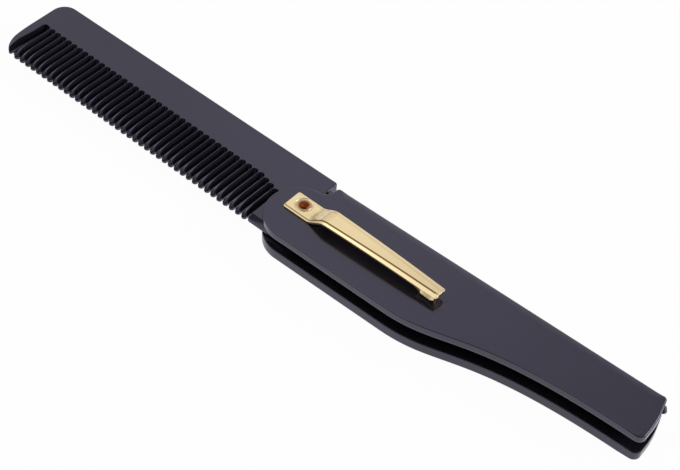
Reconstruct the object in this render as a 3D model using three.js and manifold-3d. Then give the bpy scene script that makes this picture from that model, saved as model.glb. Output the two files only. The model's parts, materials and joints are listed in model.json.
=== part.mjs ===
// Folding beard comb: a blade that turns on a rivet between two handle scales, with a sprung pocket clip.
// Millimetres, +Z up. +X runs along the handle to its tail, +Y to the handle's back.
// Pieces are drawn about the pivot, with z = 0 halfway through the slot.
import * as THREE from 'three';
import { mergeVertices } from 'three/addons/utils/BufferGeometryUtils.js';
import Module from 'manifold-3d';

const wasm = await Module();
wasm.setup();

// Thicknesses
const BLADE_THICKNESS = 3.0;
const FRICTION_WASHER_THICKNESS = 0.2;
const SCALE_THICKNESS = 2.9;
const CLIP_THICKNESS = 0.6;

// Handle scales, seen from above
const HANDLE_BACK = 10.75;           // pivot to back edge
const KNUCKLE_RADIUS = 8.9;          // round front end
const KNUCKLE_X = 0.6;               // centre of the round end from the pivot
const KNUCKLE_Y = -2.4;
const KNUCKLE_END_ANGLE = 95;        // degrees, where the round end runs into the saddle
const SADDLE_X = 2.15;               // front end of the straight back edge
const SADDLE_SOFTNESS = 0.6;         // how far the saddle curve follows its end directions
const BACK_CORNER_RADIUS = 1.0;
const BELLY_X = 33.9;                // end of the wide grip, where the edge turns in
const BELLY_DEPTH = 11.65;           // pivot to near edge there
const BELLY_PULL = 0.28;             // how far the turn follows the grip, as a share of its length
const WAIST_PULL = 0.7;              // how far it follows the tail
const WAIST_DEPTH = 2.95;            // pivot to the tail's near edge
const HANDLE_REACH = 99.7;           // pivot to the tail's near corner
const TAIL_STRAIGHT = 5.2;           // straight near edge before that corner
const TAIL_SLANT = 2.0;              // how much shorter the back edge is
const TAIL_BULGE = 0.85;             // roundness of the tail's end
const TAIL_CORNER_RADIUS = 1.9;
const SCALE_EDGE_BEVEL = 0.4;

// Spine strip between the scales
const STRIP_WIDTH = 1.0;
const STRIP_NUB = 1.0;               // rounded end of its upper half past the tail
const STRIP_SETBACK = 0.4;           // lower half short of the tail
const TONGUE_HEIGHT = 0.8;           // part of the strip let into each scale
const TONGUE_INSET = 2.2;            // tongue ends from the ends of the back edge
const TONGUE_FIT = 0.05;             // clearance of the tongue in its rebate

// Comb blade
const OPEN_PAST_STRAIGHT = 1.63;     // degrees, open blade against the handle
const TOOTH_PITCH = 2.1;
const TOOTH_COUNT = 40;
const TOOTH_LENGTH = 13.4;
const TOOTH_ROUND_END = 1.1;         // length of the round tooth end, seen from above
const RIDGE_WIDTH = 0.1;             // flat along the top of a tooth
const TOP_NOSE_LENGTH = 5.45;        // length over which a tooth's upper side falls to its tip
const TOP_NOSE_FULLNESS = 0.75;      // 0.5 is an elliptic nose, 1 a sharper one
const LOW_NOSE_LENGTH = 2.0;         // the same for its lower side
const LOW_NOSE_FULLNESS = 0.5;
const TIP_ABOVE = 0.2;               // tooth tip's faces from the blade's middle
const TIP_BELOW = 0.6;
const GAP_WIDTH = 0.56;              // between the upright walls of two teeth
const GAP_WALL_TOP = 0.07;           // upper and lower end of those walls, as shares of half the thickness
const GAP_WALL_LOW = 0.67;
const GAP_LOW_FLARE = 0.3;           // how much each side opens out below the walls
const LAST_GAP_X = 10.4;             // pivot to the middle of the last gap
const SHORT_GAP_COUNT = 3;           // gaps beside the heel that end early
const SHORT_GAP_STEP = 0.55;
const TOOTH_CLEARANCE = 0.1;         // folded tooth tips to the spine strip, for a straight blade
const GUARD_WIDTH = 4.3;             // plain end of the blade outside the first gap's middle
const GUARD_SWEEP = 3.3;             // how far the guard's point is set in from the blade's end
const GUARD_SWEEP_HEIGHT = 11.6;     // length of that curved edge
const GUARD_STRAIGHTNESS = 0.56;     // share of that length that follows the blade's end
const GUARD_RELIEF = 0.6;            // how much the first gap is widened into the guard
const GUARD_TIP_REACH = 0.85;        // share of the sweep made in the curve's last stretch
const GUARD_TIP_LEAN = 0.09;         // slope of that stretch, as a share of the length
const BACK_AT_TIP = 13.45;           // pivot to blade back, at the tip and at the shoulder
const BACK_AT_SHOULDER = 14.1;
const TIP_CORNER_RADIUS = 4.2;
const SHOULDER_X = 0.85;             // pivot to the shoulder face that stops the opening
const SHOULDER_CORNER_RADIUS = 0.8;
const TANG_CLEARANCE = 0.75;         // round tang to the spine strip
const BLADE_EDGE_BEVEL = 0.5;
const STOP_GAP = 0.3;                // shoulder to spine strip, open

// Pivot
const RIVET_RADIUS = 1.0;
const RIVET_FIT = 0.05;              // radial clearance of the rivet in its holes
const RIVET_DOME_LIP = 0.25;         // dome past the shank
const RIVET_DOME_HEIGHT = 0.5;
const RIVET_HEAD_LIP = 1.3;          // flat head past the shank
const RIVET_HEAD_THICKNESS = 0.8;
const RIVET_WASHER_LIP = 0.4;        // washer past the flat head
const RIVET_WASHER_THICKNESS = 0.4;
const COUNTERBORE_FIT = 0.15;        // radial clearance round the sunk washer
const HEAD_RECESS = 0.15;            // head below the scale's face
const FRICTION_WASHER_RIM = 2.5;     // width of the friction washers' ring

// Pocket clip, drawn along the handle and then turned about the rivet
const CLIP_TURN = 1.5;               // degrees, its tip towards the near edge
const CLIP_CENTRE_Y = -0.48;
const CLIP_WIDTH = 6.15;
const CLIP_FRONT = 3.8;              // pivot to the plate's front end
const CLIP_PLATE_END = 3.6;          // pivot to the end of the flat plate
const CLIP_CORNER_RADIUS = 0.6;
const CLIP_KERF = 0.1;               // bending line between plate and arm
const NECK_LENGTH = 3.7;
const NECK_RISE = 2.6;
const ARM_LENGTH = 35.2;             // from the neck's end to the tip
const ARM_DROP = 0.35;               // fall of the arm towards its tip
const ARM_ARCH = 0.3;                // rise of the arm's middle
const ARM_ROOT_WIDTH = 5.7;
const ARM_TIP_WIDTH = 4.05;
const FLANGE_WIDTH_AT_NECK = 0.95;   // sloped edge along each side of the arm
const FLANGE_WIDTH_AT_TIP = 1.38;
const FLANGE_DEPTH_AT_NECK = 0.2;
const FLANGE_DEPTH_AT_TIP = 0.3;
const FOOT_FROM_TIP = 3.3;           // tip to the middle of the foot
const FOOT_RADIUS = 3.2;
const FOOT_WIDTH = 3.2;
const FOOT_SINK = 0.2;               // how far the foot's root goes into the sheet
const FOOT_LIFT = 0.15;              // foot above the scale at rest

// Smoothness of the solids
const ROUND_SIDES = 24;
const CURVE_STEPS = 10;
const TAPER_STEPS = 4;
const NOSE_STEPS = 5;
const NECK_STEPS = 6;
const ARM_STEPS = 6;
const OVERCUT = 1.0;                 // how far a cutter stands past what it cuts
const WELD = 1e-4;                   // corners this close are one corner

// Heights worked out from the thicknesses
const SLOT_TOP = BLADE_THICKNESS / 2 + FRICTION_WASHER_THICKNESS;
const SCALE_TOP = SLOT_TOP + SCALE_THICKNESS;
const CLIP_PLATE_TOP = SCALE_TOP + CLIP_THICKNESS;
const ARM_START_TOP = CLIP_PLATE_TOP + NECK_RISE;

// Places worked out from the sizes
const radians = THREE.MathUtils.degToRad;
const openAngle = -radians(OPEN_PAST_STRAIGHT);
const stripInnerY = HANDLE_BACK - STRIP_WIDTH;
const tailBackX = HANDLE_REACH - TAIL_SLANT;
const tangRadius = stripInnerY - TANG_CLEARANCE;
const tipLineY = TOOTH_CLEARANCE - stripInnerY;
const rootLineY = tipLineY + TOOTH_LENGTH;
const domeRadius = RIVET_RADIUS + RIVET_DOME_LIP;
const headRadius = RIVET_RADIUS + RIVET_HEAD_LIP;
const rivetWasherRadius = headRadius + RIVET_WASHER_LIP;
const frictionWasherRadius = RIVET_RADIUS + FRICTION_WASHER_RIM;
const firstGapX = -LAST_GAP_X - TOOTH_COUNT * TOOTH_PITCH;
const bladeEndX = firstGapX - GUARD_WIDTH;

// Materials
const blackPlastic = new THREE.MeshStandardMaterial({ color: 0x1d1c22, roughness: 0.3, metalness: 0.0 });
const paleGold = new THREE.MeshStandardMaterial({ color: 0xe8c983, roughness: 0.25, metalness: 1.0 });
const copper = new THREE.MeshStandardMaterial({ color: 0x8a3d1c, roughness: 0.35, metalness: 1.0 });
const steel = new THREE.MeshStandardMaterial({ color: 0xa9a9ab, roughness: 0.4, metalness: 1.0 });
const paleNylon = new THREE.MeshStandardMaterial({ color: 0xd8d4c8, roughness: 0.55, metalness: 0.0 });

// A closed geometry as a solid that can be joined and cut.
function solid(geometry) {
  const bare = geometry.index ? geometry.toNonIndexed() : geometry.clone();
  bare.deleteAttribute('normal');
  bare.deleteAttribute('uv');
  const merged = mergeVertices(bare, WELD);
  return new wasm.Manifold(new wasm.Mesh({
    numProp: 3,
    vertProperties: new Float32Array(merged.attributes.position.array),
    triVerts: new Uint32Array(merged.index.array),
  }));
}

// A named mesh from a solid.
function piece(name, body, material) {
  const { vertProperties, triVerts } = body.getMesh();
  const geometry = new THREE.BufferGeometry();
  geometry.setAttribute('position', new THREE.BufferAttribute(vertProperties, 3));
  geometry.setIndex(new THREE.BufferAttribute(triVerts, 1));
  geometry.computeVertexNormals();
  const mesh = new THREE.Mesh(geometry, material);
  mesh.name = name;
  return mesh;
}

// A flat shape as a slab from height low to height high, with bevelled rims inside that height.
function slab(shape, low, high, bevel = 0) {
  const geometry = new THREE.ExtrudeGeometry(shape, {
    depth: high - low - 2 * bevel,
    curveSegments: CURVE_STEPS,
    bevelEnabled: bevel > 0,
    bevelThickness: bevel,
    bevelSize: bevel,
    bevelOffset: -bevel,
    bevelSegments: 1,
  });
  return solid(geometry.translate(0, 0, low + bevel));
}

// A box between two corners.
function box(low, high) {
  const size = new THREE.Vector3().subVectors(high, low);
  const middle = new THREE.Vector3().addVectors(low, high).multiplyScalar(0.5);
  return solid(new THREE.BoxGeometry(size.x, size.y, size.z).translate(middle.x, middle.y, middle.z));
}

// An upright cylinder about the pivot.
function post(radius, low, high) {
  const geometry = new THREE.CylinderGeometry(radius, radius, high - low, ROUND_SIDES);
  return solid(geometry.rotateX(Math.PI / 2).translate(0, 0, (low + high) / 2));
}

// A hole radius whose flat sides stay clear of a round piece that turns in it.
function holeRadius(radius, clearance) {
  return (radius + clearance) / Math.cos(Math.PI / ROUND_SIDES);
}

// Rounds the corner at point on the way from the path's current end to the next point.
function roundCorner(path, point, next, radius) {
  const before = new THREE.Vector2().subVectors(path.currentPoint, point).normalize();
  const after = new THREE.Vector2().subVectors(next, point).normalize();
  const halfAngle = Math.acos(THREE.MathUtils.clamp(before.dot(after), -1, 1)) / 2;
  const reach = radius / Math.tan(halfAngle);
  const pull = reach * (1 - (4 / 3) * Math.tan((Math.PI / 2 - halfAngle) / 2) * Math.tan(halfAngle));
  const from = before.clone().multiplyScalar(reach).add(point);
  const to = after.clone().multiplyScalar(reach).add(point);
  const firstPull = before.multiplyScalar(pull).add(point);
  const secondPull = after.multiplyScalar(pull).add(point);
  path.lineTo(from.x, from.y);
  path.bezierCurveTo(firstPull.x, firstPull.y, secondPull.x, secondPull.y, to.x, to.y);
}

// Outline of both scales: round knuckle, wide grip, turned-in near edge, slanted tail, back edge, saddle.
function scaleOutline() {
  const path = new THREE.Shape();
  const endAngle = radians(KNUCKLE_END_ANGLE);
  const waistX = HANDLE_REACH - TAIL_STRAIGHT;
  const turn = waistX - BELLY_X;
  const tailNear = new THREE.Vector2(HANDLE_REACH, -WAIST_DEPTH);
  const tailBack = new THREE.Vector2(tailBackX, HANDLE_BACK);
  const tailEnd = new THREE.Vector2().subVectors(tailBack, tailNear);
  const tailOut = new THREE.Vector2(tailEnd.y, -tailEnd.x).setLength(TAIL_BULGE);
  const tailMiddle = tailNear.clone().lerp(tailBack, 0.5).add(tailOut);
  const tailRadius = tailEnd.lengthSq() / (8 * TAIL_BULGE);
  const backFront = new THREE.Vector2(SADDLE_X, HANDLE_BACK);
  const saddleEnd = new THREE.Vector2(
    KNUCKLE_X + KNUCKLE_RADIUS * Math.cos(endAngle),
    KNUCKLE_Y + KNUCKLE_RADIUS * Math.sin(endAngle),
  );
  const saddleStart = new THREE.Vector2(SADDLE_X, HANDLE_BACK - BACK_CORNER_RADIUS);
  const drop = SADDLE_SOFTNESS * (saddleStart.y - saddleEnd.y);
  const run = SADDLE_SOFTNESS * (saddleStart.x - saddleEnd.x);
  path.absarc(KNUCKLE_X, KNUCKLE_Y, KNUCKLE_RADIUS, endAngle, 1.5 * Math.PI, false);
  path.lineTo(BELLY_X, -BELLY_DEPTH);
  path.bezierCurveTo(
    BELLY_X + BELLY_PULL * turn, -BELLY_DEPTH,
    waistX - WAIST_PULL * turn, -WAIST_DEPTH,
    waistX, -WAIST_DEPTH,
  );
  roundCorner(path, tailNear, tailMiddle, TAIL_CORNER_RADIUS);
  roundCorner(path, tailMiddle, tailBack, tailRadius);
  roundCorner(path, tailBack, backFront, BACK_CORNER_RADIUS);
  roundCorner(path, backFront, saddleStart, BACK_CORNER_RADIUS);
  path.bezierCurveTo(
    saddleStart.x, saddleStart.y - drop,
    saddleEnd.x + run * Math.sin(endAngle), saddleEnd.y - run * Math.cos(endAngle),
    saddleEnd.x, saddleEnd.y,
  );
  return path;
}

const tongueStartX = SADDLE_X + TONGUE_INSET;
const tongueEndX = tailBackX - TONGUE_INSET;

// A scale on the slot's upper side, its outer rim bevelled, with the rivet hole and the strip's rebate.
function upperScale() {
  const bevelled = slab(scaleOutline(), SLOT_TOP - SCALE_EDGE_BEVEL, SCALE_TOP, SCALE_EDGE_BEVEL);
  const plate = bevelled.trimByPlane([0, 0, 1], SLOT_TOP);
  const hole = post(holeRadius(RIVET_RADIUS, RIVET_FIT), SLOT_TOP - OVERCUT, SCALE_TOP + OVERCUT);
  const rebate = box(
    new THREE.Vector3(tongueStartX - TONGUE_FIT, stripInnerY - TONGUE_FIT, SLOT_TOP - OVERCUT),
    new THREE.Vector3(tongueEndX + TONGUE_FIT, HANDLE_BACK + OVERCUT, SLOT_TOP + TONGUE_HEIGHT + TONGUE_FIT),
  );
  return plate.subtract(hole).subtract(rebate);
}

// The lower scale mirrors the upper one and has a counterbore for the rivet's head and washer.
function lowerScale() {
  const depth = RIVET_WASHER_THICKNESS + RIVET_HEAD_THICKNESS + HEAD_RECESS;
  const wide = holeRadius(rivetWasherRadius, COUNTERBORE_FIT);
  const counterbore = post(wide, -SCALE_TOP - OVERCUT, -SCALE_TOP + depth);
  return upperScale().mirror([0, 0, 1]).subtract(counterbore);
}

// Where the blade's shoulder face meets the strip's height when open.
const shoulderAtStrip = -SHOULDER_X * Math.cos(openAngle) - HANDLE_BACK * Math.sin(openAngle);

// Bar along the back between the scales, let into both by a tongue.
// Its upper half has a round end past the tail.
function spineStrip() {
  const front = shoulderAtStrip + STOP_GAP;
  const end = tailBackX + STRIP_NUB;
  const middle = HANDLE_BACK - STRIP_WIDTH / 2;
  const bar = new THREE.Shape();
  bar.moveTo(front, HANDLE_BACK);
  bar.lineTo(front, stripInnerY);
  bar.absarc(end - STRIP_WIDTH / 2, middle, STRIP_WIDTH / 2, -Math.PI / 2, Math.PI / 2, false);
  const lowEnd = box(
    new THREE.Vector3(tailBackX - STRIP_SETBACK, stripInnerY - OVERCUT, -SLOT_TOP - OVERCUT),
    new THREE.Vector3(end + OVERCUT, HANDLE_BACK + OVERCUT, 0),
  );
  const tongue = box(
    new THREE.Vector3(tongueStartX, stripInnerY, -SLOT_TOP - TONGUE_HEIGHT),
    new THREE.Vector3(tongueEndX, HANDLE_BACK, SLOT_TOP + TONGUE_HEIGHT),
  );
  return slab(bar, -SLOT_TOP, SLOT_TOP).subtract(lowEnd).add(tongue);
}

// Outline of the blade with its teeth still joined: round tang, shoulder, back, tip corner, guard, heel.
function bladeOutline() {
  const path = new THREE.Shape();
  const shoulder = new THREE.Vector2(-SHOULDER_X, BACK_AT_SHOULDER);
  const tipCorner = new THREE.Vector2(bladeEndX, BACK_AT_TIP);
  const sweepTop = new THREE.Vector2(bladeEndX, tipLineY + GUARD_SWEEP_HEIGHT);
  const shoulderAngle = Math.acos(-SHOULDER_X / tangRadius);
  path.absarc(0, 0, tangRadius, -Math.PI / 2, shoulderAngle, false);
  roundCorner(path, shoulder, tipCorner, SHOULDER_CORNER_RADIUS);
  roundCorner(path, tipCorner, sweepTop, TIP_CORNER_RADIUS);
  path.lineTo(sweepTop.x, sweepTop.y);
  path.bezierCurveTo(
    bladeEndX, sweepTop.y - GUARD_STRAIGHTNESS * GUARD_SWEEP_HEIGHT,
    bladeEndX + (1 - GUARD_TIP_REACH) * GUARD_SWEEP, tipLineY + GUARD_TIP_LEAN * GUARD_SWEEP_HEIGHT,
    bladeEndX + GUARD_SWEEP, tipLineY,
  );
  path.lineTo(-LAST_GAP_X, tipLineY);
  path.lineTo(-LAST_GAP_X, -tangRadius);
  return path;
}

// Heights through a gap with its half width there: upright walls, opening out to a thin ridge on each tooth.
function gapLevels() {
  const full = BLADE_THICKNESS / 2;
  const half = GAP_WIDTH / 2;
  const low = half + GAP_LOW_FLARE;
  const widest = (TOOTH_PITCH - RIDGE_WIDTH) / 2;
  return [
    [-full - OVERCUT, low], [-full, low], [-GAP_WALL_LOW * full, half], [GAP_WALL_TOP * full, half],
    [full, widest], [full + OVERCUT, widest],
  ];
}

// Outline of a gap that is this wide on each side: round root, straight sides, round tooth ends beside it.
function gapRing(x, rootY, half) {
  const ring = [];
  for (let step = 0; step <= 2 * TAPER_STEPS; step += 1) {
    const turn = (step / (2 * TAPER_STEPS)) * Math.PI;
    ring.push(new THREE.Vector2(x + half * Math.cos(turn), rootY + half * Math.sin(turn)));
  }
  const side = [];
  for (let step = 0; step < TAPER_STEPS; step += 1) {
    const turn = (step / TAPER_STEPS) * (Math.PI / 2);
    const wide = TOOTH_PITCH / 2 - (TOOTH_PITCH / 2 - half) * Math.cos(turn);
    side.push(new THREE.Vector2(wide, tipLineY + TOOTH_ROUND_END * (1 - Math.sin(turn))));
  }
  side.push(new THREE.Vector2(side[side.length - 1].x, tipLineY - OVERCUT));
  for (const spot of side) ring.push(new THREE.Vector2(x - spot.x, spot.y));
  for (const spot of side.reverse()) ring.push(new THREE.Vector2(x + spot.x, spot.y));
  return ring;
}

// Cutter for one gap between teeth: a stack of outlines closed at both ends.
function gapCutter(x, rootY) {
  const levels = gapLevels();
  const widest = levels[levels.length - 1][1];
  const rings = levels.map(([, half]) => gapRing(x, rootY - widest, half));
  const corners = [];
  rings.forEach((ring, level) => ring.forEach((spot) => corners.push(spot.x, spot.y, levels[level][0])));
  const count = rings[0].length;
  const last = (levels.length - 1) * count;
  const faces = [];
  for (let level = 0; level < levels.length - 1; level += 1) {
    for (let index = 0; index < count; index += 1) {
      const a = level * count + index;
      const b = level * count + ((index + 1) % count);
      faces.push(a, b, b + count, a, b + count, a + count);
    }
  }
  for (const [a, b, c] of THREE.ShapeUtils.triangulateShape(rings[0], [])) faces.push(c, b, a);
  for (const [a, b, c] of THREE.ShapeUtils.triangulateShape(rings[rings.length - 1], [])) {
    faces.push(last + a, last + b, last + c);
  }
  const geometry = new THREE.BufferGeometry();
  geometry.setAttribute('position', new THREE.Float32BufferAttribute(corners, 3));
  geometry.setIndex(faces);
  return solid(geometry);
}

// Cutter over the tooth ends: level at first, then a round nose down to the tips.
function noseCutter(length, fullness, tipHeight) {
  const full = BLADE_THICKNESS / 2;
  const section = new THREE.Shape();
  section.moveTo(tipLineY + length, full + OVERCUT);
  for (let step = 0; step <= NOSE_STEPS; step += 1) {
    const share = Math.sin((step / NOSE_STEPS) * (Math.PI / 2));
    const height = tipHeight + (full - tipHeight) * Math.max(0, 1 - share * share) ** fullness;
    section.lineTo(tipLineY + length * (1 - share), height);
  }
  section.lineTo(tipLineY - OVERCUT, tipHeight);
  section.lineTo(tipLineY - OVERCUT, full + OVERCUT);
  const start = bladeEndX - OVERCUT;
  const geometry = new THREE.ExtrudeGeometry(section, { depth: -LAST_GAP_X - start, bevelEnabled: false });
  const acrossTeeth = new THREE.Matrix4().makeBasis(
    new THREE.Vector3(0, 1, 0), new THREE.Vector3(0, 0, 1), new THREE.Vector3(1, 0, 0),
  );
  return solid(geometry.applyMatrix4(acrossTeeth).translate(start, 0, 0));
}

// Comb blade in its own frame: pivot at the origin, tip towards -X, teeth towards -Y.
function combBlade() {
  const full = BLADE_THICKNESS / 2;
  const topNose = noseCutter(TOP_NOSE_LENGTH, TOP_NOSE_FULLNESS, TIP_ABOVE);
  const lowNose = noseCutter(LOW_NOSE_LENGTH, LOW_NOSE_FULLNESS, TIP_BELOW).mirror([0, 0, 1]);
  let blade = slab(bladeOutline(), -full, full, BLADE_EDGE_BEVEL).subtract(topNose).subtract(lowNose);
  for (let gap = 0; gap <= TOOTH_COUNT; gap += 1) {
    const shortening = Math.max(0, gap - (TOOTH_COUNT - SHORT_GAP_COUNT)) * SHORT_GAP_STEP;
    blade = blade.subtract(gapCutter(firstGapX + gap * TOOTH_PITCH, rootLineY - shortening));
  }
  blade = blade.subtract(gapCutter(firstGapX - GUARD_RELIEF, rootLineY));
  return blade.subtract(post(holeRadius(RIVET_RADIUS, RIVET_FIT), -full - OVERCUT, full + OVERCUT));
}

// Rivet turned from one profile: sunk flat head below, shank, domed end on the clip plate.
function pivotRivet() {
  const headLow = -SCALE_TOP + HEAD_RECESS;
  const headTop = headLow + RIVET_HEAD_THICKNESS;
  const profile = [
    new THREE.Vector2(0, headLow),
    new THREE.Vector2(headRadius, headLow),
    new THREE.Vector2(headRadius, headTop),
    new THREE.Vector2(RIVET_RADIUS, headTop),
    new THREE.Vector2(RIVET_RADIUS, CLIP_PLATE_TOP),
  ];
  for (let step = 0; step <= TAPER_STEPS; step += 1) {
    const angle = (step / TAPER_STEPS) * (Math.PI / 2);
    const radius = step === TAPER_STEPS ? 0 : domeRadius * Math.cos(angle);
    profile.push(new THREE.Vector2(radius, CLIP_PLATE_TOP + RIVET_DOME_HEIGHT * Math.sin(angle)));
  }
  return solid(new THREE.LatheGeometry(profile, ROUND_SIDES).rotateX(Math.PI / 2));
}

// A flat ring about the rivet.
function washer(radius, low, high) {
  const hole = post(holeRadius(RIVET_RADIUS, RIVET_FIT), low - OVERCUT, high + OVERCUT);
  return post(radius, low, high).subtract(hole);
}

// Flat root of the clip under the rivet's dome.
function clipPlate() {
  const side = CLIP_WIDTH / 2;
  const near = CLIP_CENTRE_Y - side;
  const far = CLIP_CENTRE_Y + side;
  const start = new THREE.Vector2(CLIP_PLATE_END, near);
  const frontFar = new THREE.Vector2(-CLIP_FRONT, far);
  const frontNear = new THREE.Vector2(-CLIP_FRONT, near);
  const path = new THREE.Shape();
  path.moveTo(start.x, start.y);
  path.lineTo(CLIP_PLATE_END, far);
  roundCorner(path, frontFar, frontNear, CLIP_CORNER_RADIUS);
  roundCorner(path, frontNear, start, CLIP_CORNER_RADIUS);
  const hole = post(holeRadius(RIVET_RADIUS, RIVET_FIT), SCALE_TOP - OVERCUT, CLIP_PLATE_TOP + OVERCUT);
  return slab(path, SCALE_TOP, CLIP_PLATE_TOP).subtract(hole);
}

// Skins a row of like sections, each a ring of points, and closes both ends.
function loft(rings) {
  const count = rings[0].length;
  const flatRing = rings[0].map((point) => new THREE.Vector2(point.y, point.z));
  const caps = THREE.ShapeUtils.triangulateShape(flatRing, []);
  const last = (rings.length - 1) * count;
  const triangles = [];
  for (let ring = 0; ring + 1 < rings.length; ring += 1) {
    for (let side = 0; side < count; side += 1) {
      const a = ring * count + side;
      const b = ring * count + ((side + 1) % count);
      triangles.push(a, b, b + count, a, b + count, a + count);
    }
  }
  for (const [a, b, c] of caps) {
    triangles.push(a, c, b, last + a, last + b, last + c);
  }
  const corners = rings.flat().flatMap((point) => point.toArray());
  const geometry = new THREE.BufferGeometry();
  geometry.setAttribute('position', new THREE.Float32BufferAttribute(corners, 3));
  geometry.setIndex(triangles);
  return solid(geometry);
}

// Section of the arm at x: a flat top with a sloped edge on both sides, all of sheet thickness.
function armSection(x, top, width, flangeWidth, flangeDepth) {
  const outer = width / 2;
  const crease = outer - flangeWidth;
  const half = [
    [crease, -CLIP_THICKNESS],
    [outer, -flangeDepth - CLIP_THICKNESS],
    [outer, -flangeDepth],
    [crease, 0],
  ];
  const otherHalf = half.map(([y, z]) => [-y, z]).reverse();
  return [...half, ...otherHalf].map(([y, z]) => new THREE.Vector3(x, CLIP_CENTRE_Y + y, top + z));
}

// Sprung arm: stepped neck, tapered arm with sloped edges, and a rounded foot near the tip.
function clipArm() {
  const { lerp } = THREE.MathUtils;
  const neckStart = CLIP_PLATE_END + CLIP_KERF;
  const armStart = neckStart + NECK_LENGTH;
  const armTop = (share) => ARM_START_TOP - ARM_DROP * share + 4 * ARM_ARCH * share * (1 - share);
  const rings = [];
  for (let step = 0; step < NECK_STEPS; step += 1) {
    const share = step / NECK_STEPS;
    const rise = NECK_RISE * (1 - Math.cos(Math.PI * share)) / 2;
    const width = lerp(CLIP_WIDTH, ARM_ROOT_WIDTH, share);
    const depth = FLANGE_DEPTH_AT_NECK * share;
    const x = neckStart + share * NECK_LENGTH;
    rings.push(armSection(x, CLIP_PLATE_TOP + rise, width, FLANGE_WIDTH_AT_NECK, depth));
  }
  for (let step = 0; step <= ARM_STEPS; step += 1) {
    const share = step / ARM_STEPS;
    const width = lerp(ARM_ROOT_WIDTH, ARM_TIP_WIDTH, share);
    const flangeWidth = lerp(FLANGE_WIDTH_AT_NECK, FLANGE_WIDTH_AT_TIP, share);
    const depth = lerp(FLANGE_DEPTH_AT_NECK, FLANGE_DEPTH_AT_TIP, share);
    rings.push(armSection(armStart + share * ARM_LENGTH, armTop(share), width, flangeWidth, depth));
  }
  const footX = armStart + ARM_LENGTH - FOOT_FROM_TIP;
  const footLow = SCALE_TOP + FOOT_LIFT;
  const footTop = armTop(1 - (FOOT_FROM_TIP - FOOT_RADIUS) / ARM_LENGTH) - CLIP_THICKNESS + FOOT_SINK;
  const disc = new THREE.CylinderGeometry(FOOT_RADIUS, FOOT_RADIUS, FOOT_WIDTH, 2 * ROUND_SIDES);
  const foot = solid(disc.translate(footX, CLIP_CENTRE_Y, footLow + FOOT_RADIUS));
  const below = box(
    new THREE.Vector3(footX - FOOT_RADIUS - OVERCUT, CLIP_CENTRE_Y - FOOT_WIDTH, footLow - OVERCUT),
    new THREE.Vector3(footX + FOOT_RADIUS + OVERCUT, CLIP_CENTRE_Y + FOOT_WIDTH, footTop),
  );
  return loft(rings).add(foot.intersect(below));
}

// Assembly
const handle = new THREE.Group();
handle.add(
  piece('top_scale', upperScale(), blackPlastic),
  piece('bottom_scale', lowerScale(), blackPlastic),
  piece('spine_strip', spineStrip(), blackPlastic),
  piece('pivot_rivet', pivotRivet(), copper),
  piece('upper_friction_washer', washer(frictionWasherRadius, BLADE_THICKNESS / 2, SLOT_TOP), paleNylon),
  piece('lower_friction_washer', washer(frictionWasherRadius, -SLOT_TOP, -BLADE_THICKNESS / 2), paleNylon),
);
const washerLow = -SCALE_TOP + HEAD_RECESS + RIVET_HEAD_THICKNESS;
handle.add(
  piece('rivet_washer', washer(rivetWasherRadius, washerLow, washerLow + RIVET_WASHER_THICKNESS), steel),
);

const blade = new THREE.Group();
blade.add(piece('comb_blade', combBlade(), blackPlastic));
blade.rotation.z = openAngle;

const clip = new THREE.Group();
clip.add(
  piece('clip_plate', clipPlate(), paleGold),
  piece('clip_arm', clipArm(), paleGold),
);
clip.rotation.z = -radians(CLIP_TURN);

const comb = new THREE.Group();
comb.add(handle, blade, clip);

// The comb lies on its lower scale, with the middle of its box over the origin.
const extent = new THREE.Box3().setFromObject(comb, true);
const middle = extent.getCenter(new THREE.Vector3());
comb.position.set(-middle.x, -middle.y, -extent.min.z);

export default comb;
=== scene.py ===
"""Folding beard comb: moulded black blade and scales, gilt pocket clip, copper rivet, white studio.

Sizes are in millimetres about the pivot, as in the solids, and turn into metres of the part in place()."""

import json
import math

import bmesh
import bpy
from mathutils import Matrix, Vector
from mathutils.geometry import delaunay_2d_cdt


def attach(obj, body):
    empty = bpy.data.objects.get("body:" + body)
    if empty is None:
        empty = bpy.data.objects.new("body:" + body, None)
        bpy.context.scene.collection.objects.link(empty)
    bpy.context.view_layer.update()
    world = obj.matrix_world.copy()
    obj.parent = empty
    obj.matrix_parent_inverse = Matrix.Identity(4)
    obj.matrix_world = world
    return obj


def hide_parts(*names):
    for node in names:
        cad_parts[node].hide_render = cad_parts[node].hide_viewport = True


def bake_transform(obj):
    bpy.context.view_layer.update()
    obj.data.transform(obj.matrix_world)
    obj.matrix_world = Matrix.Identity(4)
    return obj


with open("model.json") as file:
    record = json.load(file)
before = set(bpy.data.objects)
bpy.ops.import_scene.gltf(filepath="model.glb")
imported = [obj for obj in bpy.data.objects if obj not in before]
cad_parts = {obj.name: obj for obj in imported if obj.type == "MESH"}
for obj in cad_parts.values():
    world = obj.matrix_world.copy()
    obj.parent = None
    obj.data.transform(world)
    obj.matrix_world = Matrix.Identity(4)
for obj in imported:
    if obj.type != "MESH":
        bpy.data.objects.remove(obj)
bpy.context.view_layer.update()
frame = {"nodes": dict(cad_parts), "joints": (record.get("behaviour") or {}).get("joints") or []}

MM = 0.001
NEAR = 0.001  # places closer than this are one place
SAME_SPOT = 1e-9  # corners closer than this join when a face is filled
PAST = 1.0  # how far a cutter reaches past the face it opens

# Heights about the middle of the slot
BLADE_HALF = 1.5
SLOT_TOP = 1.7
SCALE_TOP = 4.6
CLIP_THICKNESS = 0.6
PLATE_TOP = SCALE_TOP + CLIP_THICKNESS

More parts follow.
